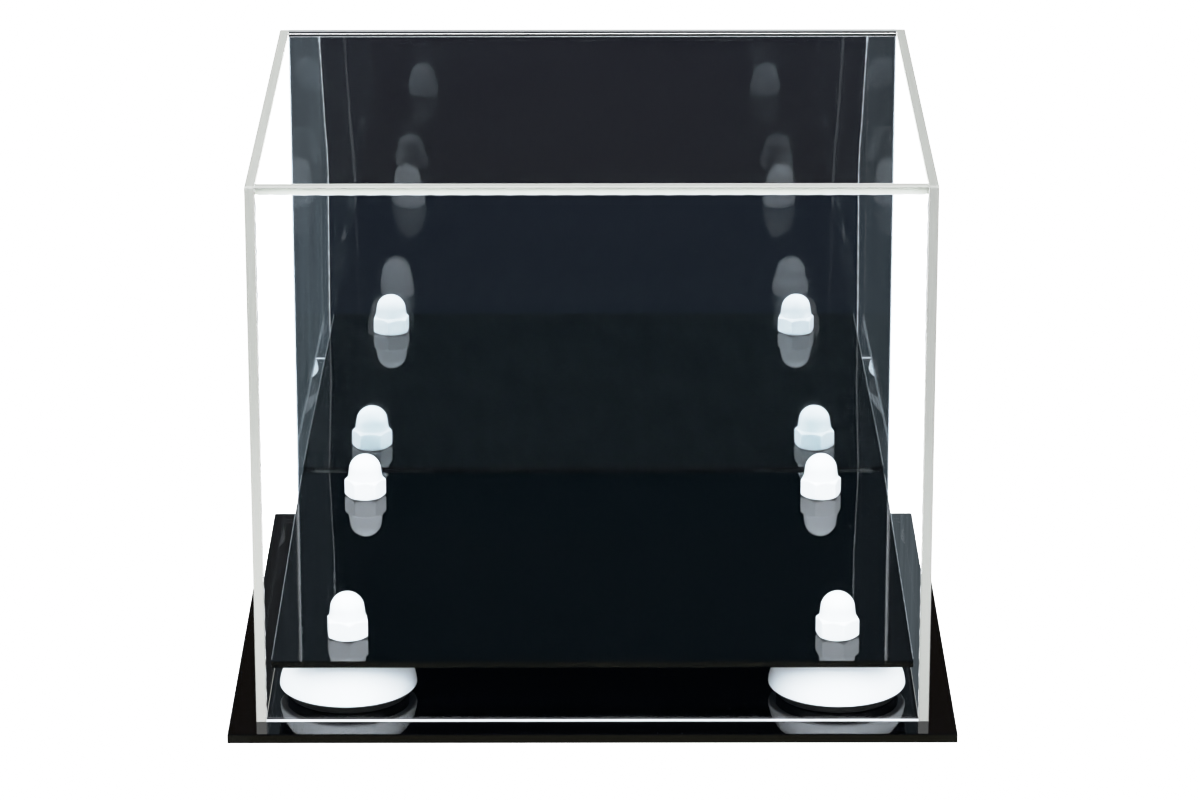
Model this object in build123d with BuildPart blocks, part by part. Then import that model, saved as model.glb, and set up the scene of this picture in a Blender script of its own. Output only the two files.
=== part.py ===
from build123d import *
from math import acos, degrees, radians, sqrt, tan
import os

# Display case for a cap: a clear five-sided cover over a black base, with a raised
# platform on four domed risers and a mirror on the cover's back wall.
# Millimetres, +Z up, front towards -Y, origin at the bottom centre of the base plate.

# Clear cover, outside sizes
cover_width = 216.0
cover_depth = 194.0
cover_height = 179.0
cover_sheet = 3.175
cover_corner_radius = 0.8
cover_edge_radius = 0.5

# Base plate, with the margins it shows round the cover, which stands nearer to its rear edge
base_margin_side = 8.7
base_margin_front = 10.6
base_margin_rear = 4.6
base_thickness = 3.175
base_edge_chamfer = 0.3

# Mirror sheet, and the tape that holds it to the back wall
mirror_thickness = 3.0
mirror_side_gap = 0.35
mirror_top_gap = 0.4
mirror_base_gap = 0.3
mirror_edge_chamfer = 0.2
tape_thickness = 0.4
tape_width = 19.0
tape_inset = 20.0
tape_end_inset = 12.0

# Platform
platform_thickness = 2.3
platform_side_gap = 1.9
platform_front_gap = 1.0
platform_mirror_gap = 1.0
platform_edge_chamfer = 0.2
fastener_inset = 23.4

# Domed riser: a moulded shell with a boss, ribs and a flat seat
riser_radius = 22.3
riser_height = 14.3
riser_wall = 2.2
riser_seat_radius = 10.0
riser_seat_thickness = 2.6
riser_hollow_seat_radius = 8.6
riser_rim_radius = 0.7
boss_radius = 7.2
rib_thickness = 1.6
rib_count = 6

# Rubber pad under each riser
pad_stand_off = 3.05
pad_recess = 1.6
pad_rim_gap = 0.4
pad_edge_chamfer = 0.5

# Threaded stud from the riser into the cap nut
stud_radius = 3.97
stud_gap = 0.05
stud_end_gap = 0.3
stud_riser_depth = 6.4
stud_nut_depth = 8.8
stud_point = 0.8
stud_hole_radius = 4.25

# Flat-head screw from under the base
screw_radius = 2.08
screw_gap = 0.05
screw_end_gap = 0.3
screw_length = 12.3
screw_head_radius = 4.2
screw_head_angle = 82.0
screw_head_land = 0.2
screw_head_sink = 0.1
screw_point = 0.6
screw_hole_radius = 2.25
drive_length = 4.4
drive_width = 1.0
drive_depth = 1.2
drive_turn = 45.0

# Cap nut
nut_flats = 12.7
nut_hex_height = 6.4
nut_height = 15.0
nut_face_radius = 6.2
nut_chamfer_angle = 30.0
nut_blank_spare = 0.6
nut_dome_radius = 5.95
nut_dome_draft = 0.35
nut_bore_mouth = 0.4
drill_point_angle = 118.0

# Heights worked out from the sizes above
base_top = base_thickness
riser_rim = base_top + pad_stand_off
platform_under = riser_rim + riser_height
platform_top = platform_under + platform_thickness
cover_top_height = base_top + cover_height
cover_ceiling = cover_top_height - cover_sheet

# Places across and along the case
base_width = cover_width + 2 * base_margin_side
base_depth = base_margin_front + cover_depth + base_margin_rear
inside_width = cover_width - 2 * cover_sheet
front_outer = base_margin_front - base_depth / 2
front_inner = front_outer + cover_sheet
back_outer = front_outer + cover_depth
back_inner = back_outer - cover_sheet
mirror_back = back_inner - tape_thickness
mirror_front = mirror_back - mirror_thickness
platform_width = inside_width - 2 * platform_side_gap
platform_front = front_inner + platform_front_gap
platform_rear = mirror_front - platform_mirror_gap

fastener_x = platform_width / 2 - fastener_inset
fastener_front = platform_front + fastener_inset
fastener_rear = platform_rear - fastener_inset

# Each corner's place, and the angle from the front at which its tightened nut shows a corner
corners = {
    "front_left": (-fastener_x, fastener_front, 7.0),
    "front_right": (fastener_x, fastener_front, 15.5),
    "rear_left": (-fastener_x, fastener_rear, 31.5),
    "rear_right": (fastener_x, fastener_rear, 42.5),
}
fastener_places = [(x, y) for x, y, turn in corners.values()]

os.makedirs("parts", exist_ok=True)


def save(piece, name):
    piece.part.label = name
    export_step(piece.part, f"parts/{name}.step")


def level(x, y, z, turn=0.0):
    """A flat plane on a corner's axis, its X axis turned from the front about the vertical."""
    return Plane((x, y, z)).rotated((0, 0, turn - 90))


def upright(x, y, z):
    """A standing plane through a corner's axis, for profiles that are turned about it."""
    return Plane(origin=(x, y, z), x_dir=(1, 0, 0), z_dir=(0, -1, 0))


def vertical(x, y):
    return Axis((x, y, 0), (0, 0, 1))


def turned_dome(x, y, z, radius, height, seat_radius):
    """A solid dome on a corner's axis: part of an ellipse, turned, and cut off flat at the seat."""
    crown = height / sqrt(1 - (seat_radius / radius) ** 2)
    with BuildPart() as dome:
        with BuildSketch(upright(x, y, z)):
            with BuildLine():
                seat_angle = degrees(acos(seat_radius / radius))
                curve = EllipticalCenterArc((0, 0), radius, crown, 0, arc_size=seat_angle)
                Polyline(curve @ 1, (0, height), (0, 0), (radius, 0))
            make_face()
        revolve(axis=vertical(x, y))
    return dome.part


# Base plate with a countersunk hole under each riser
sink_radius = screw_head_radius + screw_gap
sink_radius += (screw_head_sink + screw_head_land) * tan(radians(screw_head_angle / 2))
with BuildPart() as base_plate:
    with BuildSketch(Plane.XY):
        Rectangle(base_width, base_depth)
    extrude(amount=base_thickness)
    chamfer(base_plate.edges().filter_by(Plane.XY), base_edge_chamfer)
    with Locations(*[Plane((x, y, 0), z_dir=(0, 0, -1)) for x, y in fastener_places]):
        CounterSinkHole(screw_hole_radius, sink_radius, counter_sink_angle=screw_head_angle)
save(base_plate, "base_plate")

# Platform with a clearance hole for each stud
with BuildPart() as platform:
    with BuildSketch(Plane.XY.offset(platform_under)):
        with Locations((0, (platform_front + platform_rear) / 2)):
            Rectangle(platform_width, platform_rear - platform_front)
    extrude(amount=platform_thickness)
    chamfer(platform.edges().filter_by(Plane.XY), platform_edge_chamfer)
    with Locations(*[(x, y, platform_top) for x, y in fastener_places]):
        Hole(stud_hole_radius)
save(platform, "platform")

# Everything that stands on one corner's axis
for corner, (x, y, turn) in corners.items():
    # Rubber pad: it stands on the base and fills the mouth of the riser
    with BuildPart() as riser_pad:
        with BuildSketch(level(x, y, base_top)):
            Circle(riser_radius - riser_wall - pad_rim_gap)
            Circle(screw_hole_radius, mode=Mode.SUBTRACT)
        extrude(amount=pad_stand_off + pad_recess)
        chamfer(riser_pad.edges().sort_by(SortBy.LENGTH)[-2:], pad_edge_chamfer)
    save(riser_pad, f"riser_pad_{corner}")

    # The space inside the dome, less its boss and its ribs
    hollow_radius = riser_radius - riser_wall
    hollow_height = riser_height - riser_seat_thickness
    hollow = turned_dome(x, y, riser_rim, hollow_radius, hollow_height, riser_hollow_seat_radius)
    with BuildPart() as riser_hollow:
        add(hollow)
        with BuildSketch(level(x, y, riser_rim + pad_recess)):
            Circle(boss_radius)
            with PolarLocations(0, rib_count):
                Rectangle(riser_radius, rib_thickness, align=(Align.MIN, Align.CENTER))
        extrude(amount=riser_height, mode=Mode.SUBTRACT)

    # Domed riser: the shell, with a blind bore for the stud above and the screw below
    shell = turned_dome(x, y, riser_rim, riser_radius, riser_height, riser_seat_radius)
    with BuildPart() as riser:
        add(shell)
        fillet(riser.edges().sort_by(Axis.Z)[0], riser_rim_radius)
        add(riser_hollow.part, mode=Mode.SUBTRACT)
        with BuildSketch(level(x, y, platform_under)):
            Circle(stud_radius + stud_gap)
        extrude(amount=-stud_riser_depth - stud_end_gap, mode=Mode.SUBTRACT)
        with BuildSketch(level(x, y, riser_rim)):
            Circle(screw_radius + screw_gap)
        screw_tip = screw_head_sink + screw_length
        extrude(amount=screw_tip + screw_end_gap - riser_rim, mode=Mode.SUBTRACT)
    save(riser, f"riser_{corner}")

    # Flat-head screw, flush under the base
    cone_height = (screw_head_radius - screw_radius) / tan(radians(screw_head_angle / 2))
    with BuildPart() as base_screw:
        with BuildSketch(upright(x, y, screw_head_sink)):
            with BuildLine():
                Polyline(
                    (0, 0),
                    (screw_head_radius, 0),
                    (screw_head_radius, screw_head_land),
                    (screw_radius, screw_head_land + cone_height),
                    (screw_radius, screw_length - screw_point),
                    (screw_radius - screw_point, screw_length),
                    (0, screw_length),
                    close=True,
                )
            make_face()
        revolve(axis=vertical(x, y))
        with BuildSketch(level(x, y, screw_head_sink, drive_turn)):
            Rectangle(drive_length, drive_width)
            Rectangle(drive_width, drive_length)
        extrude(amount=drive_depth, mode=Mode.SUBTRACT)
    save(base_screw, f"base_screw_{corner}")

    # Threaded stud, from the riser through the platform into the cap nut
    with BuildPart() as stud:
        with BuildSketch(level(x, y, platform_under - stud_riser_depth)):
            Circle(stud_radius)
        extrude(amount=stud_riser_depth + platform_thickness + stud_nut_depth)
        chamfer(stud.edges().filter_by(GeomType.CIRCLE), stud_point)
    save(stud, f"stud_{corner}")

    # Cap nut: a hexagon chamfered above and below, a domed crown, a blind threaded bore
    blank_radius = nut_flats / sqrt(3) + nut_blank_spare
    chamfer_drop = (blank_radius - nut_face_radius) * tan(radians(nut_chamfer_angle))
    bore_radius = stud_radius + stud_gap
    bore_depth = stud_nut_depth + stud_end_gap
    point_depth = bore_radius / tan(radians(drill_point_angle / 2))
    dome_top_radius = nut_dome_radius - nut_dome_draft
    dome_springing = nut_height - dome_top_radius
    with BuildPart() as cap_nut:
        with BuildSketch(level(x, y, platform_top, turn)):
            RegularPolygon(nut_flats / 2, 6, major_radius=False)
        extrude(amount=nut_hex_height)
        with BuildSketch(upright(x, y, platform_top)):
            with BuildLine():
                Polyline(
                    (0, 0),
                    (nut_face_radius, 0),
                    (blank_radius, chamfer_drop),
                    (blank_radius, nut_hex_height - chamfer_drop),
                    (nut_face_radius, nut_hex_height),
                    (0, nut_hex_height),
                    close=True,
                )
            make_face()
        revolve(axis=vertical(x, y), mode=Mode.INTERSECT)
        with BuildSketch(upright(x, y, platform_top)):
            with BuildLine():
                crown = CenterArc((0, dome_springing), dome_top_radius, 0, arc_size=90)
                skirt_top = (nut_dome_radius, nut_hex_height)
                Polyline(crown @ 1, (0, 0), (nut_dome_radius, 0), skirt_top, crown @ 0)
            make_face()
        revolve(axis=vertical(x, y))
        with BuildSketch(upright(x, y, platform_top)):
            with BuildLine():
                Polyline(
                    (0, 0),
                    (bore_radius + nut_bore_mouth, 0),
                    (bore_radius, nut_bore_mouth),
                    (bore_radius, bore_depth),
                    (0, bore_depth + point_depth),
                    close=True,
                )
            make_face()
        revolve(axis=vertical(x, y), mode=Mode.SUBTRACT)
    save(cap_nut, f"cap_nut_{corner}")

# Side sheets of the cover, full depth and full height, with their outer edges eased
for side, outward in {"left": -1, "right": 1}.items():
    with BuildPart() as cover_side:
        with BuildSketch(Plane.YZ.offset(outward * inside_width / 2)) as side_outline:
            with Locations((front_outer, base_top)):
                Rectangle(cover_depth, cover_height, align=Align.MIN)
            fillet(side_outline.vertices().group_by(Axis.Y)[-1], cover_corner_radius)
        extrude(amount=outward * cover_sheet)
        outer_face = cover_side.faces().filter_by(Axis.X).sort_by(Axis((0, 0, 0), (outward, 0, 0)))[-1]
        fillet(outer_face.edges().sort_by(Axis.Z)[1:], cover_edge_radius)
    save(cover_side, f"cover_{side}")

# Top sheet, between the sides and over the front and back sheets
with BuildPart() as cover_top:
    with BuildSketch(Plane.YZ.offset(-inside_width / 2)) as top_outline:
        with Locations((front_outer, cover_ceiling)):
            Rectangle(cover_depth, cover_sheet, align=Align.MIN)
        fillet(top_outline.vertices().group_by(Axis.Y)[-1], cover_corner_radius)
    extrude(amount=inside_width)
save(cover_top, "cover_top")

# Front and back sheets, under the top and between the sides
for face, inner in {"front": front_inner, "back": back_outer}.items():
    with BuildPart() as cover_face:
        with BuildSketch(Plane.XZ.offset(-inner)):
            with Locations((0, base_top)):
                Rectangle(inside_width, cover_ceiling - base_top, align=(Align.CENTER, Align.MIN))
        extrude(amount=cover_sheet)
    save(cover_face, f"cover_{face}")

# Mirror sheet, silvered on its back
with BuildPart() as mirror_panel:
    with BuildSketch(Plane.XZ.offset(-mirror_back)):
        with Locations((0, base_top + mirror_base_gap)):
            Rectangle(
                inside_width - 2 * mirror_side_gap,
                cover_ceiling - mirror_top_gap - base_top - mirror_base_gap,
                align=(Align.CENTER, Align.MIN),
            )
    extrude(amount=mirror_thickness)
    chamfer(mirror_panel.faces().sort_by(Axis.Y)[0].edges(), mirror_edge_chamfer)
save(mirror_panel, "mirror_panel")

# Double-sided tape between the mirror and the back wall
for side, outward in {"left": -1, "right": 1}.items():
    with BuildPart() as mirror_tape:
        with BuildSketch(Plane.XZ.offset(-back_inner)):
            with Locations((outward * (inside_width / 2 - tape_inset), base_top + tape_end_inset)):
                Rectangle(
                    tape_width,
                    cover_ceiling - base_top - 2 * tape_end_inset,
                    align=(Align.CENTER, Align.MIN),
                )
        extrude(amount=tape_thickness)
    save(mirror_tape, f"mirror_tape_{side}")
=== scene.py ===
import bpy
import bmesh
import numpy as np
from math import pi, radians, tan
from mathutils import Euler, Matrix, Vector


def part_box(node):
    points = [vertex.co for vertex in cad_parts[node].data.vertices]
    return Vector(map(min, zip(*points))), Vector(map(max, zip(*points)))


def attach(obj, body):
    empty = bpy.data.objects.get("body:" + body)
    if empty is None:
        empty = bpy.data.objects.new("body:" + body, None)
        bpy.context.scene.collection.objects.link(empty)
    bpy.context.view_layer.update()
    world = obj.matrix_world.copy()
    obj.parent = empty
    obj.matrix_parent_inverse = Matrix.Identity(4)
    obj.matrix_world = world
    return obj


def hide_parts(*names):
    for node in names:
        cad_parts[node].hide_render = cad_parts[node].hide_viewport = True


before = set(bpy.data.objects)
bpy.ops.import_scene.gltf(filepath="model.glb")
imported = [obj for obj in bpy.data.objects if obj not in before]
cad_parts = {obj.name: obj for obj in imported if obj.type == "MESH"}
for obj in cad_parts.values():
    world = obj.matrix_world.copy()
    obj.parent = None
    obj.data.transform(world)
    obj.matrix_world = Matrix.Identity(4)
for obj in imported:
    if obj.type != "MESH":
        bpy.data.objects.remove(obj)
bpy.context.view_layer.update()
mm = 0.001
corners = ["front_left", "front_right", "rear_left", "rear_right"]


# Colours are hex, as a picture shows them, and Blender wants them linear
def linear(hexColour, strength=1.0):
    levels = [int(hexColour[i:i + 2], 16) / 255 for i in (0, 2, 4)]
    return [strength * (v / 12.92 if v < 0.04 else ((v + 0.055) / 1.055) ** 2.4) for v in levels] + [1.0]


def newMaterial(name):
    material = bpy.data.materials.new(name)
    material.use_nodes = True
    material.node_tree.nodes.clear()
    return material


def addNode(tree, kind, settings={}, inputs={}):
    node = tree.nodes.new("ShaderNode" + kind)
    for key, value in settings.items():
        setattr(node, key, value)
    for key, value in inputs.items():
        if isinstance(value, bpy.types.NodeSocket):
            tree.links.new(value, node.inputs[key])
        else:
            node.inputs[key].default_value = value
    return node


def calculate(tree, operation, *values):
    return addNode(tree, "Math", {"operation": operation}, dict(enumerate(values))).outputs[0]


def finishMaterial(material, shader):
    addNode(material.node_tree, "OutputMaterial", {}, {"Surface": shader.outputs[0]})
    return material


def corner3(vector):
    return np.array(vector, float)


# A mesh from rings: rows of points that each close on themselves, with a flat face over each end.
# slots gives each row's material, and the two ends take slots[0] and slots[-1].
def ringMesh(name, rings, materials, slots=None, sharpAbove=30.0, uv=None, smooth=True):
    rows, columns = rings.shape[:2]
    row, column = np.meshgrid(np.arange(rows - 1), np.arange(columns), indexing="ij")
    following = (column + 1) % columns
    quads = np.stack([
        row * columns + column, row * columns + following,
        (row + 1) * columns + following, (row + 1) * columns + column,
    ], -1).reshape(-1, 4)
    ends = [list(range(columns))[::-1], list(range((rows - 1) * columns, rows * columns))]
    mesh = bpy.data.meshes.new(name)
    mesh.from_pydata(rings.reshape(-1, 3).tolist(), [], quads.tolist() + ends)
    for material in materials:
        mesh.materials.append(material)
    if slots is not None:
        places = np.concatenate([np.repeat(slots[1:-1], columns), [slots[0], slots[-1]]])
        mesh.polygons.foreach_set("material_index", places.astype(np.int32))
    if uv is not None:
        layer = mesh.uv_layers.new(name="along_edge")
        loops = np.empty(len(mesh.loops), np.int32)
        mesh.loops.foreach_get("vertex_index", loops)
        layer.data.foreach_set("uv", uv.reshape(-1, 2)[loops].astype(np.float32).ravel())
    solid = bmesh.new()
    solid.from_mesh(mesh)
    bmesh.ops.recalc_face_normals(solid, faces=solid.faces[:])
    solid.to_mesh(mesh)
    solid.free()
    mesh.set_sharp_from_angle(angle=radians(sharpAbove))
    mesh.polygons.foreach_set("use_smooth", [smooth] * len(mesh.polygons))
    piece = bpy.data.objects.new(name, mesh)
    bpy.context.scene.collection.objects.link(piece)
    return piece


def place(piece, body, slot, *nodes):
    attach(piece, body)
    if nodes:
        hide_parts(*nodes)
    return piece


# Camera, at the photograph's place
view = {"x": 2.9, "y": -1655.3, "z": 637.7, "pitch": 18.601, "yaw": -0.014, "roll": -0.061, "lens": 157.05}
lens = bpy.data.cameras.new("camera")
lens.sensor_width = 36.0
lens.lens = view["lens"]
lens.clip_start, lens.clip_end = 0.01, 50.0
camera = bpy.data.objects.new("camera", lens)
bpy.context.scene.collection.objects.link(camera)
level = Euler((radians(90 - view["pitch"]), 0, radians(-view["yaw"])))
roll = Matrix.Rotation(radians(view["roll"]), 4, "Z")
camera.matrix_world = Matrix.LocRotScale(Vector([view[k] * mm for k in "xyz"]), level, None) @ roll
bpy.context.scene.camera = camera
print("camera placed")

# Tone: as light up to the knee, then a shoulder that rolls the bright whites off, as a studio picture does.
# Each pair is scene light and what is shown of it.
tone = {"white": 3.2, "knee": 0.5, "shoulder": [(0.75, 0.70), (1.0, 0.81), (1.4, 0.895), (2.0, 0.955), (2.6, 0.985)]}
shown = bpy.context.scene.view_settings
shown.view_transform = "Standard"
shown.use_curve_mapping = True
shown.curve_mapping.white_level = [tone["white"]] * 3
toneCurve = shown.curve_mapping.curves[3].points
for light, level in [(tone["knee"], tone["knee"])] + tone["shoulder"]:
    toneCurve.new(light / tone["white"], level)
for point in toneCurve[:2]:
    point.handle_type = "VECTOR"
shown.curve_mapping.update()


# Clear cast acrylic, polished faces. It bends light as its index of 1.49 says. Seen directly, its shine is
# held to maxShine at a glancing angle, and lamps shine through it so that the inside is lit.
# haze is painted light: an emission glow that stands in for the veil that dust and fine scratches on the side
# walls catch from the studio as one looks along them: its share is divided by the cosine of the angle off the upright,
# seen directly and in the mirror.
# It is uneven by a share of itself, in smears of the given width along the wall and height in mm.
acrylic = {"index": 1.49, "maxShine": 0.12, "wallShine": 0.03, "tint": "FFFFFF", "paintedDustGlow": "D6EFFD", "veil": 1.22,
           "haze": {"left": (0.0004, 0.0047), "right": (0.0044, 0.0021)}, "smear": (14.0, 60.0), "uneven": 0.3}


def clearAcrylic(name, maxShine=acrylic["maxShine"], haze=None):
    material = newMaterial(name)
    tree = material.node_tree
    fresnel = addNode(tree, "Fresnel", {}, {"IOR": acrylic["index"]})
    path = addNode(tree, "LightPath")
    most = addNode(tree, "Math", {"operation": "MAXIMUM"}, {0: path.outputs["Glossy Depth"], 1: maxShine})
    shine = addNode(tree, "Math", {"operation": "MINIMUM"}, {0: fresnel.outputs[0], 1: most.outputs[0]})
    through = addNode(tree, "BsdfRefraction", {}, {
        "Color": linear(acrylic["tint"]), "Roughness": 0.0, "IOR": acrylic["index"]})
    gloss = addNode(tree, "BsdfGlossy", {}, {"Color": linear("FFFFFF"), "Roughness": 0.0})
    glass = addNode(tree, "MixShader", {}, {0: shine.outputs[0], 1: through.outputs[0], 2: gloss.outputs[0]})
    lamp = addNode(tree, "Math", {"operation": "MAXIMUM", "use_clamp": True}, {
        0: path.outputs["Is Shadow Ray"], 1: path.outputs["Diffuse Depth"]})
    straight = addNode(tree, "BsdfTransparent", {}, {"Color": linear("FAFBFA")})
    if haze:
        share = addNode(tree, "MapRange", {}, {
            "Value": path.outputs["Glossy Depth"], "To Min": haze[0], "To Max": haze[1]})
        facing = addNode(tree, "LayerWeight", {}, {"Blend": 0.5})
        cosine = addNode(tree, "Math", {"operation": "SUBTRACT"}, {0: 1.0, 1: facing.outputs["Facing"]})
        spot = addNode(tree, "TexCoord")
        along, upright = [1 / (size * mm) for size in acrylic["smear"]]
        stretch = addNode(tree, "Mapping", {}, {"Vector": spot.outputs["Object"], "Scale": (1.0, along, upright)})
        smears = addNode(tree, "TexNoise", {}, {"Vector": stretch.outputs[0], "Scale": 1.0, "Detail": 5.0})
        uneven = addNode(tree, "MapRange", {}, {
            "Value": smears.outputs[0], "From Min": 0.25, "From Max": 0.75,
            "To Min": 1 - acrylic["uneven"], "To Max": 1 + acrylic["uneven"]})
        share = addNode(tree, "Math", {"operation": "MULTIPLY"}, {0: share.outputs[0], 1: uneven.outputs[0]})
        veil = addNode(tree, "Math", {"operation": "DIVIDE", "use_clamp": True}, {
            0: share.outputs[0], 1: cosine.outputs[0]})
        # Painted light: the veil is an emission, a glow of its own
        paintedDustGlow = addNode(tree, "Emission", {}, {"Color": linear(acrylic["paintedDustGlow"]), "Strength": acrylic["veil"]})
        material.cycles.emission_sampling = "NONE"
        glass = addNode(tree, "MixShader", {}, {0: veil.outputs[0], 1: glass.outputs[0], 2: paintedDustGlow.outputs[0]})
    whole = addNode(tree, "MixShader", {}, {0: lamp.outputs[0], 1: glass.outputs[0], 2: straight.outputs[0]})
    return finishMaterial(material, whole)


# Where the film lies on the mirror sheet's back there is no air between them, so light goes straight on
def opticalContact(name):
    material = newMaterial(name)
    straight = addNode(material.node_tree, "BsdfTransparent", {}, {"Color": linear("FFFFFF")})
    return finishMaterial(material, straight)


# Sawn and scraped acrylic edge: pale, matt, with fine marks along its length. Some edges have painted light:
# they are paler low down, where more light from the floor reaches them, from lowFrom to lowTo in mm of height,
# falling back to a share, foot, at the bottom.
edge = {"colour": "94928B", "dark": "7E7C76", "markWidth": 0.22, "markLength": 40.0, "roughness": 0.42,
        "paintedLowLightColour": "9A9790", "paintedLowLight": 1.0, "lowFrom": 140.0, "lowTo": 40.0, "foot": 0.8}
frosted = {**edge, "colour": "F2F2F4", "dark": "DCDCE0", "paintedLowLight": 0.0}
bonded = {**edge, "colour": "E6E4DA", "dark": "DCDAD0", "paintedLowLight": 0.0}
# Painted shade: the right wall's edges are a darker copy of the edge, for the less light that falls on that side
shadedRightEdge = {**edge, "colour": "8D8B85", "dark": "787670", "paintedLowLightColour": "908E88"}
# Painted shade: the back sheet's edges are a darker copy of the edge, for the less light that reaches them
shadedRearEdge = {**edge, "colour": "8A8A86", "dark": "757572", "paintedLowLight": 0.0}
# Painted shade: a near-black copy of the edge, for edges that lie in shade
shadedEdge = {**edge, "colour": "24272B", "dark": "1A1C20", "paintedLowLight": 0.0}


def sawnAcrylicEdge(name, edge=edge):
    material = newMaterial(name)
    tree = material.node_tree
    along = addNode(tree, "UVMap", {"uv_map": "along_edge"})
    stretch = addNode(tree, "Mapping", {}, {
        "Vector": along.outputs[0], "Scale": (1 / edge["markLength"], 1 / edge["markWidth"], 1.0)})
    marks = addNode(tree, "TexNoise", {}, {"Vector": stretch.outputs[0], "Scale": 1.0, "Detail": 3.0})
    colour = addNode(tree, "MixRGB", {}, {
        0: marks.outputs[0], 1: linear(edge["dark"]), 2: linear(edge["colour"])})
    spot = addNode(tree, "TexCoord")
    parts = addNode(tree, "SeparateXYZ", {}, {0: spot.outputs["Object"]})
    low = addNode(tree, "MapRange", {"interpolation_type": "SMOOTHSTEP"}, {
        "Value": parts.outputs[2], "From Min": edge["lowFrom"] * mm, "From Max": edge["lowTo"] * mm})
    foot = addNode(tree, "MapRange", {}, {
        "Value": parts.outputs[2], "From Max": edge["lowTo"] * mm, "To Min": edge["foot"], "To Max": edge["paintedLowLight"]})
    paintedLowLightShare = addNode(tree, "Math", {"operation": "MULTIPLY"}, {0: low.outputs[0], 1: foot.outputs[0]})
    # Painted light: paler low down, where more light from the floor reaches the edge
    if edge["paintedLowLight"]:
        colour = addNode(tree, "MixRGB", {}, {0: paintedLowLightShare.outputs[0], 1: colour.outputs[0], 2: linear(edge["paintedLowLightColour"])})
    bump = addNode(tree, "Bump", {}, {"Height": marks.outputs[0], "Strength": 0.15, "Distance": 0.02 * mm})
    shader = addNode(tree, "BsdfPrincipled", {}, {
        "Base Color": colour.outputs[0], "Roughness": edge["roughness"], "IOR": acrylic["index"],
        "Normal": bump.outputs[0]})
    return finishMaterial(material, shader)


# Black cast acrylic, polished: near black, mirror-like gloss at a glancing angle, a little dust. Its faces that
# don't look up are painted light: a lighter, browner black than its top faces.
black = {"colour": "020203", "edge": "0D0C08", "index": 1.49, "roughness": 0.004}

# Dust: specks in a share of the cells, with the cell's size and the speck's radius in mm
dust = {"spacing": 2.6, "radius": 0.11, "share": 0.12, "colour": "8E9498"}


def dustSpecks(tree):
    spot = addNode(tree, "TexCoord")
    cells = addNode(tree, "TexVoronoi", {}, {
        "Vector": spot.outputs["Object"], "Scale": 1 / (dust["spacing"] * mm)})
    near = addNode(tree, "Math", {"operation": "LESS_THAN"}, {
        0: cells.outputs["Distance"], 1: dust["radius"] / dust["spacing"]})
    chance = addNode(tree, "SeparateColor", {}, {0: cells.outputs["Color"]})
    some = addNode(tree, "Math", {"operation": "LESS_THAN"}, {0: chance.outputs[0], 1: dust["share"]})
    return addNode(tree, "Math", {"operation": "MULTIPLY"}, {0: near.outputs[0], 1: some.outputs[0]})


def blackAcrylic(name):
    material = newMaterial(name)
    tree = material.node_tree
    speck = dustSpecks(tree)
    shape = addNode(tree, "NewGeometry")
    facing = addNode(tree, "SeparateXYZ", {}, {0: shape.outputs["True Normal"]})
    # Painted light: faces that don't look up get the lighter black
    upright = addNode(tree, "Math", {"operation": "LESS_THAN"}, {0: facing.outputs[2], 1: 0.5})
    paintedSideLight = addNode(tree, "MixRGB", {}, {0: upright.outputs[0], 1: linear(black["colour"]), 2: linear(black["edge"])})
    colour = addNode(tree, "MixRGB", {}, {0: speck.outputs[0], 1: paintedSideLight.outputs[0], 2: linear(dust["colour"])})
    shader = addNode(tree, "BsdfPrincipled", {}, {
        "Base Color": colour.outputs[0], "Roughness": black["roughness"], "IOR": black["index"]})
    return finishMaterial(material, shader)


# Metallised back of the acrylic mirror: a cool, slightly dim silver
# It bows towards its sides. bow is the slope of the broad bow per metre across, which spread eases off at
# the sides, and curl is the slope close to the sides. Each is full between two heights in mm and eases off
# to the shares given. level is the place across, in mm, whose height stays at nought. It also leans back,
# by lean per metre of height above leanFrom.
silver = {"colour": "E4EAED", "roughness": 0.0, "metal": 0.995, "bow": 0.076, "spread": 23.7,
          "bowFoot": (10.0, 55.0, 0.3), "bowTop": (85.0, 146.0, 0.0), "curl": 0.0049, "side": 97.0,
          "curlFoot": (85.0, 130.0, 0.0), "curlTop": (140.0, 183.0, 0.0), "level": 68.0,
          "lean": 0.06, "leanFrom": 60.0}


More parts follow.
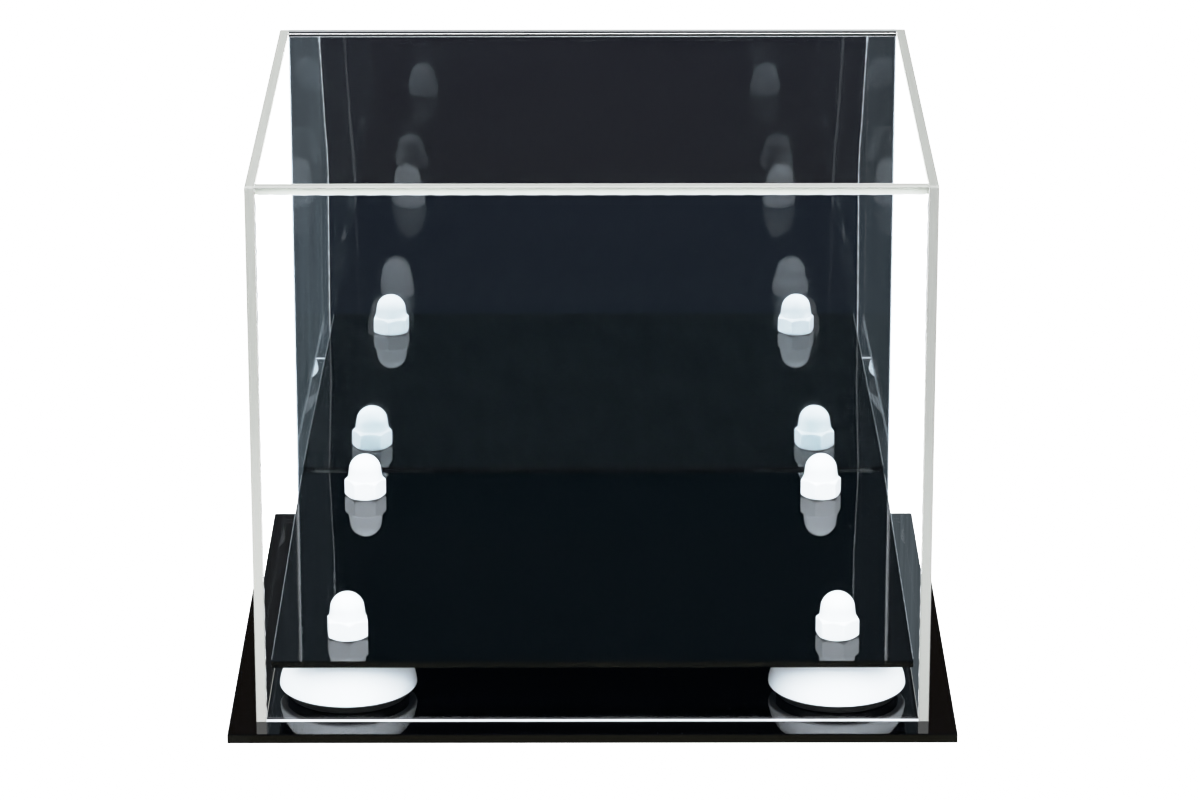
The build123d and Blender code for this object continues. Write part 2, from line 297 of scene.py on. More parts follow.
def metallisedFilm(name):
    material = newMaterial(name)
    tree = material.node_tree
    spot = addNode(tree, "TexCoord")
    parts = addNode(tree, "SeparateXYZ", {}, {0: spot.outputs["Object"]})

    def share(foot, top):
        rise = addNode(tree, "MapRange", {}, {
            "Value": parts.outputs[2], "From Min": foot[0] * mm, "From Max": foot[1] * mm, "To Min": foot[2]})
        fall = addNode(tree, "MapRange", {}, {
            "Value": parts.outputs[2], "From Min": top[0] * mm, "From Max": top[1] * mm,
            "To Min": 1.0, "To Max": top[2]})
        return calculate(tree, "MULTIPLY", rise.outputs[0], fall.outputs[0])

    level, side = silver["level"] * mm, silver["side"] * mm
    square = calculate(tree, "MULTIPLY", parts.outputs[0], parts.outputs[0])
    spread = calculate(tree, "MULTIPLY_ADD", square, -silver["spread"], 1.0)
    broad = calculate(tree, "MULTIPLY", square, spread)
    broad = calculate(tree, "SUBTRACT", broad, level ** 2 * (1 - silver["spread"] * level ** 2))
    broad = calculate(tree, "MULTIPLY", broad, share(silver["bowFoot"], silver["bowTop"]))
    close = calculate(tree, "POWER", calculate(tree, "MULTIPLY", square, side ** -2), 3.0)
    close = calculate(tree, "SUBTRACT", close, (level / side) ** 6)
    close = calculate(tree, "MULTIPLY", close, share(silver["curlFoot"], silver["curlTop"]))
    close = calculate(tree, "MULTIPLY", close, -silver["curl"] * side / 6)
    bow = calculate(tree, "MULTIPLY_ADD", broad, -silver["bow"] / 2, close)
    above = calculate(tree, "SUBTRACT", parts.outputs[2], silver["leanFrom"] * mm)
    above = calculate(tree, "MULTIPLY", above, above)
    bow = calculate(tree, "MULTIPLY_ADD", above, -silver["lean"] / 2, bow)
    bump = addNode(tree, "Bump", {}, {"Height": bow, "Strength": 1.0, "Distance": 1.0})
    speck = dustSpecks(tree)
    bright = addNode(tree, "MapRange", {}, {
        "Value": speck.outputs[0], "To Min": silver["metal"], "To Max": 0.5})
    shader = addNode(tree, "BsdfPrincipled", {}, {
        "Base Color": linear(silver["colour"]), "Metallic": bright.outputs[0], "Roughness": silver["roughness"],
        "Normal": bump.outputs[0]})
    return finishMaterial(material, shader)


# Grey backing paint, sprayed over the metal: satin, with a fine orange-peel
paint = {"colour": "6F7478", "dark": "63686C", "peel": 1.4, "patch": 35.0, "roughness": 0.48}


def backingPaint(name):
    material = newMaterial(name)
    tree = material.node_tree
    place = addNode(tree, "TexCoord")
    patch = addNode(tree, "TexNoise", {}, {
        "Vector": place.outputs["Object"], "Scale": 1 / (paint["patch"] * mm), "Detail": 2.0})
    peel = addNode(tree, "TexNoise", {}, {
        "Vector": place.outputs["Object"], "Scale": 1 / (paint["peel"] * mm), "Detail": 2.0})
    colour = addNode(tree, "MixRGB", {}, {0: patch.outputs[0], 1: linear(paint["dark"]), 2: linear(paint["colour"])})
    bump = addNode(tree, "Bump", {}, {"Height": peel.outputs[0], "Strength": 0.25, "Distance": 0.05 * mm})
    shader = addNode(tree, "BsdfPrincipled", {}, {
        "Base Color": colour.outputs[0], "Roughness": paint["roughness"], "Normal": bump.outputs[0]})
    return finishMaterial(material, shader)


# White nylon, moulded: bright, softly glossy, a little light goes into it
nylon = {"colour": "F0F3F8", "roughness": 0.3, "index": 1.53, "depth": 1.2, "grain": 0.8}


def mouldedNylon(name):
    material = newMaterial(name)
    tree = material.node_tree
    place = addNode(tree, "TexCoord")
    grain = addNode(tree, "TexNoise", {}, {
        "Vector": place.outputs["Object"], "Scale": 1 / (nylon["grain"] * mm), "Detail": 3.0})
    bump = addNode(tree, "Bump", {}, {"Height": grain.outputs[0], "Strength": 0.08, "Distance": 0.03 * mm})
    shader = addNode(tree, "BsdfPrincipled", {}, {
        "Base Color": linear(nylon["colour"]), "Roughness": nylon["roughness"], "IOR": nylon["index"],
        "Subsurface Weight": 0.25, "Subsurface Scale": nylon["depth"] * mm,
        "Subsurface Radius": (1.0, 0.95, 0.9), "Normal": bump.outputs[0]})
    return finishMaterial(material, shader)


# Black rubber pad, cut from sheet: matt, with a fine grain
rubber = {"colour": "0E0D0C", "light": "1B1A19", "grain": 0.5, "roughness": 0.62}


def cutRubber(name):
    material = newMaterial(name)
    tree = material.node_tree
    place = addNode(tree, "TexCoord")
    grain = addNode(tree, "TexNoise", {}, {
        "Vector": place.outputs["Object"], "Scale": 1 / (rubber["grain"] * mm), "Detail": 3.0})
    colour = addNode(tree, "MixRGB", {}, {0: grain.outputs[0], 1: linear(rubber["colour"]), 2: linear(rubber["light"])})
    bump = addNode(tree, "Bump", {}, {"Height": grain.outputs[0], "Strength": 0.3, "Distance": 0.05 * mm})
    shader = addNode(tree, "BsdfPrincipled", {}, {
        "Base Color": colour.outputs[0], "Roughness": rubber["roughness"], "Normal": bump.outputs[0]})
    return finishMaterial(material, shader)


# Bright zinc plate on rolled steel thread: grey metal, brushed by handling
zinc = {"colour": "B9BCC0", "dark": "A4A8AE", "scuff": 0.7, "roughness": 0.3}


def zincPlate(name):
    material = newMaterial(name)
    tree = material.node_tree
    place = addNode(tree, "TexCoord")
    scuff = addNode(tree, "TexNoise", {}, {
        "Vector": place.outputs["Object"], "Scale": 1 / (zinc["scuff"] * mm), "Detail": 4.0})
    colour = addNode(tree, "MixRGB", {}, {0: scuff.outputs[0], 1: linear(zinc["dark"]), 2: linear(zinc["colour"])})
    shader = addNode(tree, "BsdfPrincipled", {}, {
        "Base Color": colour.outputs[0], "Metallic": 1.0, "Roughness": zinc["roughness"]})
    return finishMaterial(material, shader)


# White foam tape: matt and fine-celled, a little darker where it has wetted out against the sheet
tape = {"colour": "E6E6E2", "dark": "CFCFCA", "cell": 0.35, "patch": 6.0, "roughness": 0.7}


def foamTape(name):
    material = newMaterial(name)
    tree = material.node_tree
    place = addNode(tree, "TexCoord")
    patch = addNode(tree, "TexNoise", {}, {
        "Vector": place.outputs["Object"], "Scale": 1 / (tape["patch"] * mm), "Detail": 4.0})
    cells = addNode(tree, "TexNoise", {}, {
        "Vector": place.outputs["Object"], "Scale": 1 / (tape["cell"] * mm), "Detail": 2.0})
    colour = addNode(tree, "MixRGB", {}, {0: patch.outputs[0], 1: linear(tape["dark"]), 2: linear(tape["colour"])})
    bump = addNode(tree, "Bump", {}, {"Height": cells.outputs[0], "Strength": 0.4, "Distance": 0.05 * mm})
    shader = addNode(tree, "BsdfPrincipled", {}, {
        "Base Color": colour.outputs[0], "Roughness": tape["roughness"], "Normal": bump.outputs[0]})
    return finishMaterial(material, shader)


finish = {
    "clear": clearAcrylic("clear cast acrylic"),
    "left": clearAcrylic("clear left wall", acrylic["wallShine"], acrylic["haze"]["left"]),
    "right": clearAcrylic("clear right wall", acrylic["wallShine"], acrylic["haze"]["right"]),
    "contact": opticalContact("optical contact"),
    "edge": sawnAcrylicEdge("sawn acrylic edge"),
    "frosted": sawnAcrylicEdge("frosted acrylic edge", frosted),
    "bonded": sawnAcrylicEdge("bonded acrylic edge", bonded),
    "shadedRightEdge": sawnAcrylicEdge("right acrylic edge in painted shade", shadedRightEdge),
    "shadedRearEdge": sawnAcrylicEdge("rear acrylic edge in painted shade", shadedRearEdge),
    "shadedEdge": sawnAcrylicEdge("acrylic edge in painted shade", shadedEdge),
    "black": blackAcrylic("black cast acrylic"),
    "silver": metallisedFilm("metallised film"),
    "paint": backingPaint("grey backing paint"),
    "nylon": mouldedNylon("moulded white nylon"),
    "rubber": cutRubber("cut black rubber"),
    "zinc": zincPlate("zinc plated steel"),
    "tape": foamTape("white foam tape"),
}
print("materials made")


# A rectangle's outline, drawn in by its own amount on each side, with a quarter circle at each corner.
# Sides go low a, low b, high a, high b, and corner k lies between sides k and k + 1.
def roundedOutline(low, high, drawnIn, radii, steps):
    turn = np.linspace(0, 1, steps)
    points = []
    for k in range(4):
        end = (k + 1) % 4
        radius = max(radii[k] - (drawnIn[k] + drawnIn[end]) / 2, 0.005 * mm)
        aSide, bSide = (k, end) if k % 2 == 0 else (end, k)
        a = low[0] + drawnIn[aSide] + radius if aSide == 0 else high[0] - drawnIn[aSide] - radius
        b = low[1] + drawnIn[bSide] + radius if bSide == 1 else high[1] - drawnIn[bSide] - radius
        angle = radians(180 + 90 * k) + turn * pi / 2
        points.append(np.stack([a + radius * np.cos(angle), b + radius * np.sin(angle)], -1))
    return np.concatenate(points)


# A cut sheet: its outline carried from one face to the other, round a quarter circle at each arris.
# easedLow and easedHigh are the arris radii along the four sides of the two faces, and they blend
# into each other round the corners. slots are the low face, its arris, the wall with the far arris, the high face.
def cutSheet(name, low, high, thin, cornerRadii, easedLow, easedHigh, materials, slots, steps=6):
    a, b = [axis for axis in range(3) if axis != thin]
    turn = np.linspace(0, 1, steps)
    eased = [np.concatenate([r[k] + (r[(k + 1) % 4] - r[k]) * turn for k in range(4)]) for r in (easedLow, easedHigh)]
    quarter = np.linspace(0, pi / 2, 5)
    rings = []
    for face, angles in ((0, quarter), (1, quarter[::-1])):
        radius = (easedLow, easedHigh)[face]
        for angle in angles:
            drawnIn = [r * (1 - np.sin(angle)) for r in radius]
            outline = roundedOutline((low[a], low[b]), (high[a], high[b]), drawnIn, cornerRadii, steps)
            depth = eased[face] * (1 - np.cos(angle))
            ring = np.empty((len(outline), 3))
            ring[:, a], ring[:, b] = outline.T
            ring[:, thin] = low[thin] + depth if face == 0 else high[thin] - depth
            rings.append(ring)
    rings = np.array(rings)
    around = np.cumsum(np.linalg.norm(np.diff(rings[5], axis=0, prepend=rings[5][-1:]), axis=1))
    across = np.cumsum(np.linalg.norm(np.diff(rings[:, 0], axis=0, prepend=rings[:1, 0]), axis=1))
    uv = np.stack(np.meshgrid(around, across, indexing="xy"), -1) / mm
    rowSlots = [slots[0]] + [slots[1]] * 4 + [slots[2]] * 5 + [slots[3]]
    return ringMesh(name, rings, materials, rowSlots, uv=uv, smooth=False)


# Clear cover: five sheets, bonded at their edges
cover = {"joint": 0.02, "corner": 0.8, "eased": 0.5, "square": 0.06}
joint, eased, square = cover["joint"] * mm, cover["eased"] * mm, cover["square"] * mm
for side in ("left", "right"):
    low, high = map(corner3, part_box(f"cover_{side}"))
    low[2] += joint
    outside = [eased, square, eased, eased]
    inside = [square] * 4
    lowFace, highFace = (outside, inside) if side == "left" else (inside, outside)
    cornerRadii = [square, square, cover["corner"] * mm, cover["corner"] * mm]
    sheet = cutSheet(f"cover_sheet_{side}", low, high, 0, cornerRadii, lowFace, highFace,
                     [finish[side], finish["edge" if side == "left" else "shadedRightEdge"]], (0, 1, 1, 0))
    place(sheet, "cover", "clear_acrylic", f"cover_{side}")

# The top is set in between the other four, so their top edges show round it
low, high = map(corner3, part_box("cover_top"))
coverTop = high[2]
low[0], high[0] = low[0] + joint, high[0] - joint
low[1], high[1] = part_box("cover_front")[1][1] + joint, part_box("cover_back")[0][1] - joint
sheet = cutSheet("cover_sheet_top", low, high, 2, [square] * 4, [square] * 4, [square] * 4,
                 [finish["clear"], finish["bonded"], finish["shadedEdge"]], (0, 1, 1, 0))


# Faces that look along an axis, one way, get another of the piece's materials
def paintFacing(piece, axis, way, slot):
    mesh = piece.data
    facing = np.empty(len(mesh.polygons) * 3)
    mesh.polygons.foreach_get("normal", facing)
    slots = np.empty(len(mesh.polygons), np.int32)
    mesh.polygons.foreach_get("material_index", slots)
    slots[way * facing[axis::3] > 0.5] = slot
    mesh.polygons.foreach_set("material_index", slots)


# Painted shade: the top sheet's back end takes the near-black edge
paintFacing(sheet, 1, 1, 2)
place(sheet, "cover", "clear_acrylic", "cover_top")

for face in ("front", "back"):
    low, high = map(corner3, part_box(f"cover_{face}"))
    low[0], high[0], low[2], high[2] = low[0] + joint, high[0] - joint, low[2] + joint, coverTop
    outer, inner = [square, square, square, eased], [square] * 4
    lowFace, highFace = (outer, inner) if face == "front" else (inner, outer)
    sheet = cutSheet(f"cover_sheet_{face}", low, high, 1, [square] * 4, lowFace, highFace,
                     [finish["clear"], finish["edge" if face == "front" else "shadedRearEdge"], finish["frosted"]],
                     (0, 1, 1, 0))
    paintFacing(sheet, 2, -1, 2)
    place(sheet, "cover", "clear_acrylic", f"cover_{face}")
print("cover made")


# A bead of solvent cement in an inside corner: a hollow-faced triangle carried along a straight line.
# Its legs are their size times one plus three sine waves of the distance, and it goes from one size to another.
bead = {"wave": [(0.35, 7.1), (0.2, 2.9), (0.12, 1.3)], "step": 1.0}


def cementBead(name, start, end, across, up, sizes, change):
    start, end, across, up = map(corner3, (start, end, across, up))
    length = np.linalg.norm(end - start)
    t = np.linspace(0, 1, int(length / (bead["step"] * mm)))
    away = t * length / mm
    ripple = 1 + sum(share * np.sin(2 * pi * away / wave + share * 40) for share, wave in bead["wave"])
    blend = 1 / (1 + np.exp(-(t - change) * 60))
    leg = (sizes[0] + (sizes[1] - sizes[0]) * blend) * ripple * mm
    turn = np.linspace(0, pi / 2, 4)
    a = np.concatenate([[0.0], 1 - np.sin(turn)])
    b = np.concatenate([[0.0], 1 - np.cos(turn)])
    spine = start + (end - start) * t[:, None]
    rings = spine[:, None] + leg[:, None, None] * (a[:, None] * across + b[:, None] * up)
    return place(ringMesh(name, rings, [finish["frosted"]], sharpAbove=60), "cover", "clear_acrylic")


insideLow, insideHigh = map(corner3, (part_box("cover_left")[1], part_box("cover_right")[0]))
ceiling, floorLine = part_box("cover_top")[0][2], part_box("cover_front")[0][2]
frontInner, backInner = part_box("cover_front")[1][1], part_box("cover_back")[0][1]
clearance = 0.01 * mm
for side, x, inward in (("left", insideLow[0] + clearance, 1), ("right", insideHigh[0] - clearance, -1)):
    cementBead(f"cement_front_{side}", (x, frontInner + clearance, floorLine + mm),
               (x, frontInner + clearance, ceiling - mm), (inward, 0, 0), (0, 1, 0), (0.14, 0.3), 0.72)
    cementBead(f"cement_top_{side}", (x, frontInner + mm, ceiling - clearance),
               (x, backInner - 4 * mm, ceiling - clearance), (inward, 0, 0), (0, 0, -1), (0.12, 0.12), 0.5)
cementBead("cement_top_front", (insideLow[0] + mm, frontInner + clearance, ceiling - clearance),
           (insideHigh[0] - mm, frontInner + clearance, ceiling - clearance), (0, 1, 0), (0, 0, -1), (0.2, 0.2), 0.5)
print("cement beads made")


# Mirror: a clear sheet with polished edges, and the metallised and painted film on its back
mirror = {"bevel": 0.35, "lowBevel": 0.25, "film": 0.08, "gap": 0.01}
low, high = map(corner3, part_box("mirror_panel"))
low[0], high[0] = insideLow[0] + 2 * joint, insideHigh[0] - 2 * joint
high[2] = ceiling - 2 * joint
filmLow, filmHigh = low.copy(), high.copy()
high[1] -= (mirror["film"] + mirror["gap"]) * mm
filmLow[1] = filmHigh[1] - mirror["film"] * mm
bevel, lowBevel = mirror["bevel"] * mm, mirror["lowBevel"] * mm
# Painted shade: the mirror sheet's side walls and far arrises take the near-black edge, and so does its top face
sheet = cutSheet("mirror_sheet", low, high, 1, [bevel] * 4, [bevel, lowBevel, bevel, lowBevel], [square] * 4,
                 [finish["clear"], finish["frosted"], finish["shadedEdge"], finish["contact"]], (0, 1, 2, 3))
paintFacing(sheet, 2, 1, 2)
place(sheet, "cover", "clear_acrylic", "mirror_panel")
filmEase = [0.01 * mm] * 4
film = cutSheet("mirror_film", filmLow, filmHigh, 1, [square * 4] * 4, filmEase, filmEase,
                [finish["silver"], finish["paint"]], (0, 1, 1, 1))
place(film, "cover", "acrylic_mirror")
print("mirror made")


# A turned piece: a profile of (radius, height) points carried round an upright axis
def turned(name, centre, profile, columns, materials, slots=None, sharpAbove=30.0):
    angle = np.linspace(0, 2 * pi, columns, endpoint=False)
    profile = np.array(profile)
    rings = np.stack([
        centre[0] + profile[:, :1] * np.cos(angle), centre[1] + profile[:, :1] * np.sin(angle),
        np.broadcast_to(profile[:, 1:], (len(profile), columns)),
    ], -1)
    return ringMesh(name, rings, materials, slots, sharpAbove)


def arc(centre, radius, start, end, steps):
    angle = np.radians(np.linspace(start, end, steps))
    return np.stack([centre[0] + radius * np.cos(angle), centre[1] + radius * np.sin(angle)], -1)


# Cap nut. Its hexagon is the soft least of six flats, and of a cone at each end; over it stands a
# dome with a small fillet at its foot. Its mouth shows the chamfer of the threaded bore.
nut = {"flats": 12.7, "hexHeight": 6.4, "height": 15.0, "faceRadius": 6.2, "chamfer": 30.0,
       "domeRadius": 5.95, "draft": 0.35, "foot": 0.35, "cornerSoftness": 42, "arrisSoftness": 40,
       "bore": 3.97, "boreDepth": 1.5, "turns": {"front_left": 7.0, "front_right": 15.5,
                                                "rear_left": 31.5, "rear_right": 42.5}}


def capNut(corner):
    low, high = map(corner3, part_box(f"cap_nut_{corner}"))
    x, y = (low[:2] + high[:2]) / 2
    angle = np.linspace(0, 2 * pi, 144, endpoint=False)
    spin = radians(nut["turns"][corner] - 90)
    flats = np.array([spin + pi / 6 + k * pi / 3 for k in range(6)])
    facing = np.clip(np.cos(angle[:, None] - flats), 0, None)
    hexagon = nut["flats"] / 2 * np.sum(facing ** nut["cornerSoftness"], axis=1) ** (-1 / nut["cornerSoftness"])
    height = nut["hexHeight"] * (1 - np.cos(np.linspace(0, pi, 26))) / 2
    fromEnd = np.minimum(height, nut["hexHeight"] - height)
    cone = nut["faceRadius"] + fromEnd / tan(radians(nut["chamfer"]))
    p = -nut["arrisSoftness"]
    body = (hexagon[None, :] ** p + cone[:, None] ** p) ** (1 / p)
    heights = np.broadcast_to(height[:, None], body.shape)
    top = nut["domeRadius"] - nut["draft"]
    springing = nut["height"] - top
    foot = arc((nut["domeRadius"] + nut["foot"], nut["hexHeight"] + nut["foot"]), nut["foot"], 270, 180, 5)
    crown = arc((0, springing), top, 0, 89.6, 18)
    dome = np.concatenate([foot, crown])
    mouth = np.array([(0.02, nut["boreDepth"]), (nut["bore"], nut["boreDepth"]), (nut["bore"], 0.4), (nut["bore"] + 0.4, 0)])
    radius = np.concatenate([np.repeat(mouth[:, :1], 144, 1), body, np.repeat(dome[:, :1], 144, 1)])
    heights = np.concatenate([np.repeat(mouth[:, 1:], 144, 1), heights, np.repeat(dome[:, 1:], 144, 1)])
    rings = np.stack([radius * np.cos(angle), radius * np.sin(angle), heights], -1) * mm + (x, y, low[2])
    piece = ringMesh(f"nut_{corner}", rings, [finish["nylon"]], sharpAbove=50)
    return place(piece, "stand", "white_nylon", f"cap_nut_{corner}")


# Domed riser: a quarter ellipse from the seat to the rim, with a rolled rim and a plain inner wall
riser = {"radius": 22.3, "height": 14.3, "wall": 2.2, "seat": 10.0, "seatEase": 0.5, "rim": 0.7, "inner": 1.6}


def domedRiser(corner):
    low, high = map(corner3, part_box(f"riser_{corner}"))
    x, y = (low[:2] + high[:2]) / 2
    crown = riser["height"] / np.sqrt(1 - (riser["seat"] / riser["radius"]) ** 2)
    last = np.degrees(np.arccos(riser["seat"] / riser["radius"]))
    angle = np.radians(np.linspace(3.0, last, 34))
    shell = np.stack([riser["radius"] * np.cos(angle), crown * np.sin(angle)], -1)
    rim = arc((riser["radius"] - riser["rim"], riser["rim"]), riser["rim"], -90, -4, 6)
    inner = riser["radius"] - riser["wall"]
    inside = np.array([(0.02, riser["inner"]), (inner, riser["inner"]), (inner, 0.0)])
    seat = np.array([(0.02, riser["height"])])
    profile = np.concatenate([inside, rim, shell, seat]) * mm + (0, low[2])
    piece = turned(f"riser_dome_{corner}", (x, y), profile, 128, [finish["nylon"]], sharpAbove=28)
    return place(piece, "stand", "white_nylon", f"riser_{corner}")


# Threaded stud, 5/16 in with 18 turns to the inch. Its radius falls off the crest as a wave of the height
# less the angle does, so the thread winds up it, and each end is pointed.
stud = {"radius": 3.95, "pitch": 25.4 / 18, "depth": 0.72, "crest": 0.12, "point": 0.8, "perTurn": 12}


def threadedStud(corner):
    low, high = map(corner3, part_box(f"stud_{corner}"))
    x, y = (low[:2] + high[:2]) / 2
    length = (high[2] - low[2]) / mm
    height = np.linspace(0, length, int(length / stud["pitch"] * stud["perTurn"]))[:, None]
    angle = np.linspace(0, 2 * pi, 48, endpoint=False)
    phase = (height / stud["pitch"] - angle / (2 * pi)) % 1
    fall = np.clip(np.abs(2 * phase - 1) - stud["crest"], 0, 1 - 2 * stud["crest"]) / (1 - 2 * stud["crest"])
    pointed = stud["radius"] - np.clip(stud["point"] - np.minimum(height, length - height), 0, None)
    radius = np.minimum(stud["radius"] - stud["depth"] * fall, pointed)
    height = np.broadcast_to(height, radius.shape)
    rings = np.stack([radius * np.cos(angle), radius * np.sin(angle), height], -1) * mm + (x, y, low[2])
    piece = ringMesh(f"threaded_stud_{corner}", rings, [finish["zinc"]], sharpAbove=60)
    return place(piece, "stand", "zinc_steel", f"stud_{corner}")


for corner in corners:
    capNut(corner)
    domedRiser(corner)
    threadedStud(corner)
print("nuts, risers and studs made")

# The platform's side arrises are flamed to a fine bright line, and that line is a painted highlight: a thin light bar
# along each, with a bowed outer face. The right top one is chipped towards the rear, so its line of light is ragged
# there: the bar's size grows by three sine waves of the distance.
arris = {"size": 0.12, "gap": 0.01, "colour": "8A9094", "roughness": 0.3, "step": 1.0,
         "chips": [(0.9, 9.1), (0.7, 4.3), (0.5, 2.2)]}


# Painted highlight: a light grey bar laid along the arris, standing in for its shine
def flamedArrisHighlight(name):
    material = newMaterial(name)
    shader = addNode(material.node_tree, "BsdfPrincipled", {}, {
        "Base Color": linear(arris["colour"]), "Roughness": arris["roughness"], "IOR": acrylic["index"]})
    return finishMaterial(material, shader)


finish["arris"] = flamedArrisHighlight("painted highlight on flamed acrylic arris")
low, high = map(corner3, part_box("platform"))
for side, x, outward in (("left", low[0], -1), ("right", high[0], 1)):
    for level, z in (("under", low[2]), ("top", high[2])):
        y = np.arange(low[1] / mm + 2, high[1] / mm - 2, arris["step"])[:, None]
        t = (y - y[0]) / (y[-1] - y[0])
        chip = sum(share * np.sin(2 * pi * y / wave) for share, wave in arris["chips"])
        size = arris["size"] * mm * (1 + (side == "right") * (level == "top") * t * np.clip(chip, 0, None))
        turn = np.linspace(-pi / 2, pi / 2, 7)
        reach = outward * (arris["gap"] * mm + size * np.cos(turn))
        rise = size / 2 * (np.sin(turn) + (1 if level == "under" else -1))
        rings = np.stack([x + reach, np.broadcast_to(y * mm, reach.shape), z + rise], -1)
        piece = ringMesh(f"platform_arris_{side}_{level}", rings, [finish["arris"]], sharpAbove=60)
        place(piece, "stand", "black_acrylic")
print("platform arris highlights made")

for node, kind in {"base_plate": "black", "platform": "black", "mirror_tape_left": "tape", "mirror_tape_right": "tape",
                   **{f"riser_pad_{c}": "rubber" for c in corners},
                   **{f"base_screw_{c}": "zinc" for c in corners}}.items():
    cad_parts[node].material_slots[0].material = finish[kind]
print("carried nodes finished")


# Studio: a white floor and backdrop, which light the object from all round. What its gloss picks up is
# dim: the room above, and in front a dark strip of floor, between the lines of sight from the mirror
# image of the camera past the cover's front corners. Beyond those lines the floor is white.
studio = {"white": 3.2, "throughSheets": 5.6, "fill": 0.6, "horizonFill": 3.9, "zenithFill": 2.9,
          "frontFill": 1.35, "behindFill": 0.65, "light": "F2F8FF", "offGloss": 1.8,
          "roomFront": "0A2126", "roomBehind": "302A23", "stripNear": "111821", "stripFar": "171C28",
          "near": -0.15, "far": -0.59, "beside": "E0F1FD", "besideLeft": 0.1, "besideRight": 0.05,
          "soft": 3.0, "floorSize": 12.0}


# One shader for what lies round the object: white where it is seen, fill where it lights a matt surface,
# and dark where a mirror or a gloss picks it up
def surround(tree, kind, fill, picked):
    path = addNode(tree, "LightPath")
    behind = addNode(tree, "Math", {"operation": "GREATER_THAN"}, {0: path.outputs["Transmission Depth"], 1: 0.5})
    strength = addNode(tree, "MapRange", {}, {
        "Value": behind.outputs[0], "To Min": studio["white"], "To Max": studio["throughSheets"]})
    white = addNode(tree, kind, {}, {"Color": linear("FFFFFF"), "Strength": strength.outputs[0]})
    strengthen = addNode(tree, "MapRange", {}, {
        "Value": path.outputs["Is Diffuse Ray"], "To Min": studio["offGloss"], "To Max": 1.0})
    strength = addNode(tree, "Math", {"operation": "MULTIPLY"}, {0: strengthen.outputs[0], 1: fill})
    lighting = addNode(tree, kind, {}, {"Color": linear(studio["light"]), "Strength": strength.outputs[0]})
    mirrored = addNode(tree, "Math", {"operation": "GREATER_THAN"}, {0: path.outputs["Glossy Depth"], 1: 0.5})
    matt = addNode(tree, "Math", {"operation": "GREATER_THAN"}, {0: path.outputs["Diffuse Depth"], 1: 0.5})
    seen = addNode(tree, "MixShader", {}, {0: mirrored.outputs[0], 1: white.outputs[0], 2: picked.outputs[0]})
    return addNode(tree, "MixShader", {}, {0: matt.outputs[0], 1: seen.outputs[0], 2: lighting.outputs[0]})


world = bpy.data.worlds.new("studio")
world.use_nodes = True
bpy.context.scene.world = world
tree = world.node_tree
tree.nodes.clear()
way = addNode(tree, "TexCoord")
parts = addNode(tree, "SeparateXYZ", {}, {0: way.outputs["Generated"]})
back = addNode(tree, "MapRange", {}, {"Value": parts.outputs[1], "From Min": -0.2, "From Max": 0.2})
colour = addNode(tree, "MixRGB", {}, {
    0: back.outputs[0], 1: linear(studio["roomFront"]), 2: linear(studio["roomBehind"])})
room = addNode(tree, "Background", {}, {"Color": colour.outputs[0]})
height = addNode(tree, "MapRange", {}, {
    "Value": parts.outputs[2], "To Min": studio["horizonFill"], "To Max": studio["zenithFill"]})
toFront = addNode(tree, "MapRange", {}, {
    "Value": parts.outputs[1], "From Min": -1.0, "To Min": studio["frontFill"], "To Max": studio["behindFill"]})
fill = addNode(tree, "Math", {"operation": "MULTIPLY"}, {0: height.outputs[0], 1: toFront.outputs[0]})
world.cycles.sampling_method = "NONE"
addNode(tree, "OutputWorld", {}, {"Surface": surround(tree, "Background", fill.outputs[0], room).outputs[0]})

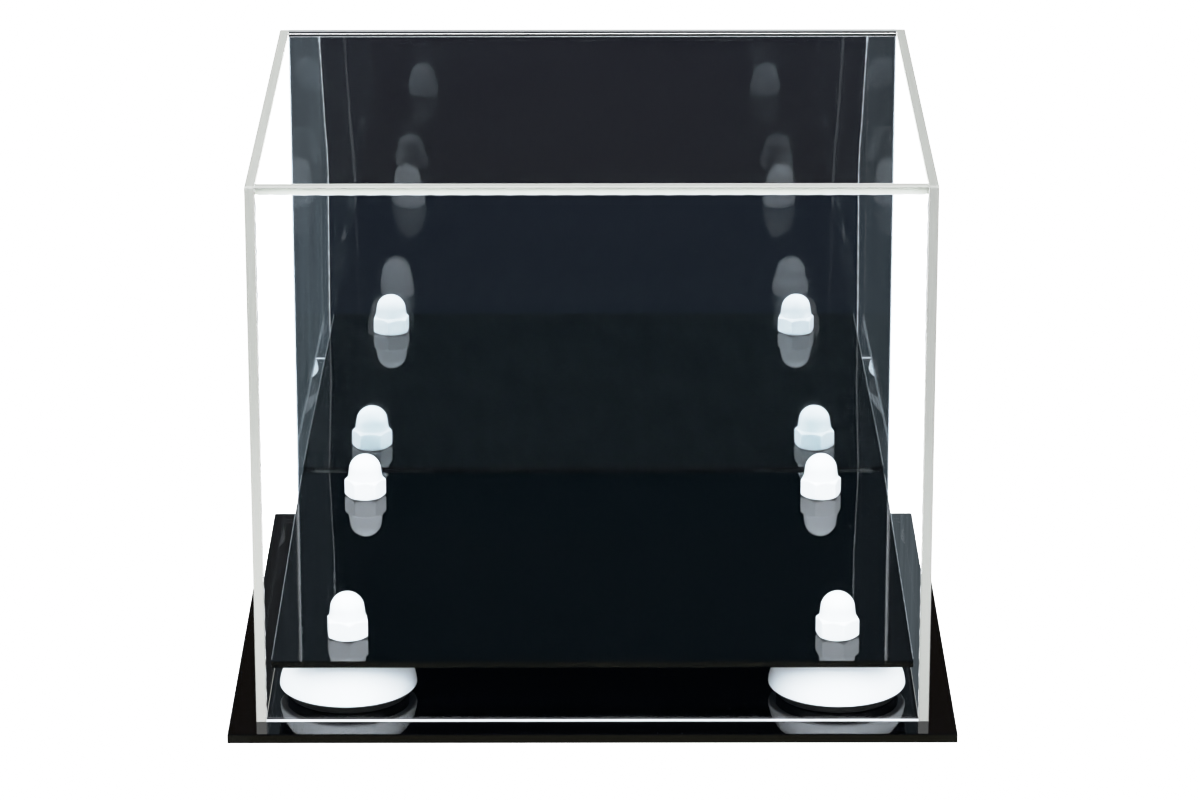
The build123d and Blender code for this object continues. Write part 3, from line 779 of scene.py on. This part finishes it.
material = newMaterial("floor")
tree = material.node_tree
spot = addNode(tree, "TexCoord")
parts = addNode(tree, "SeparateXYZ", {}, {0: spot.outputs["Object"]})
coverLow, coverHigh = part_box("cover_left")[0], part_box("cover_right")[1]
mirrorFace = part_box("mirror_panel")[1][1]
sightSlope = (coverHigh[0] / mm) / (2 * mirrorFace / mm - view["y"] - coverLow[1] / mm)
reach = coverHigh[0] + sightSlope * coverLow[1]
across = addNode(tree, "Math", {"operation": "ABSOLUTE"}, {0: parts.outputs[0]})
outwards = addNode(tree, "Math", {"operation": "MULTIPLY_ADD"}, {
    0: parts.outputs[1], 1: sightSlope, 2: across.outputs[0]})
beside = addNode(tree, "MapRange", {}, {
    "Value": outwards.outputs[0], "From Min": reach, "From Max": reach + studio["soft"] * mm})
along = addNode(tree, "MapRange", {}, {
    "Value": parts.outputs[1], "From Min": studio["near"], "From Max": studio["far"]})
strip = addNode(tree, "MixRGB", {}, {0: along.outputs[0], 1: linear(studio["stripNear"]), 2: linear(studio["stripFar"])})
side = addNode(tree, "MapRange", {}, {"Value": parts.outputs[0], "From Min": -0.01, "From Max": 0.01})
paler = addNode(tree, "MixRGB", {}, {
    0: side.outputs[0], 1: linear(studio["beside"], studio["besideLeft"]),
    2: linear(studio["beside"], studio["besideRight"])})
picked = addNode(tree, "MixRGB", {}, {0: beside.outputs[0], 1: strip.outputs[0], 2: paler.outputs[0]})
picked = addNode(tree, "Emission", {}, {"Color": picked.outputs[0]})
finishMaterial(material, surround(tree, "Emission", studio["fill"], picked))
material.cycles.emission_sampling = "NONE"
half = studio["floorSize"] / 2
mesh = bpy.data.meshes.new("floor")
mesh.from_pydata([(-half, -half, 0), (half, -half, 0), (half, half, 0), (-half, half, 0)], [], [(0, 1, 2, 3)])
mesh.materials.append(material)
floor = bpy.data.objects.new("floor", mesh)
floor.location.z = -0.05 * mm
bpy.context.scene.collection.objects.link(floor)

# Soft lamps: one overhead, one each side and one in front
lamps = {
    "overhead": {"at": (0.0, 0.1, 1.7), "size": 1.6, "watts": 5.0},
    "left": {"at": (-1.5, -0.2, 0.8), "size": 1.0, "watts": 6.0},
    "right": {"at": (1.5, -0.2, 0.8), "size": 1.0, "watts": 5.0},
    "front": {"at": (0.2, -1.8, 0.9), "size": 1.0, "watts": 8.0},
}
for name, lamp in lamps.items():
    light = bpy.data.lights.new(name, "AREA")
    light.size = lamp["size"]
    light.energy = lamp["watts"]
    light.color = linear(studio["light"])[:3]
    holder = bpy.data.objects.new(name, light)
    holder.location = lamp["at"]
    holder.rotation_euler = (-Vector(lamp["at"])).to_track_quat("-Z", "Y").to_euler()
    holder.visible_camera = False
    holder.visible_glossy = False
    holder.visible_transmission = False
    bpy.context.scene.collection.objects.link(holder)
print("studio made")
